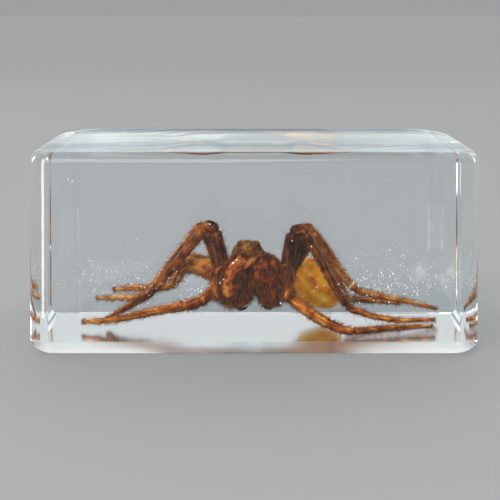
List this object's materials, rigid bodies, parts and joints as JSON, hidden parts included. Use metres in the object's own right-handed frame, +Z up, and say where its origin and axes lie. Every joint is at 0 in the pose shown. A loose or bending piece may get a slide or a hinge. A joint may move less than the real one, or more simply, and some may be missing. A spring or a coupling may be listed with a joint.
{
  "type": "spider in acrylic block",
  "caption": "Dried amber-brown spider sealed in a clear cast block with rounded corners, as a desk specimen or paperweight.",
  "frame": {"origin": "centre of the block's base, on the surface that it stands on", "axes": "+X along the block's length, +Y towards its back, +Z up; the spider faces -Y"},
  "size_m": [0.044, 0.028, 0.0195],
  "materials": {
    "clear_resin": "polished, clear, colourless",
    "dried_spider": "dried translucent cuticle with fine hair"
  },
  "bodies": {
    "root": {"resin_lower": "clear_resin", "resin_upper": "clear_resin", "spider": "dried_spider"}
  },
  "joints": []
}
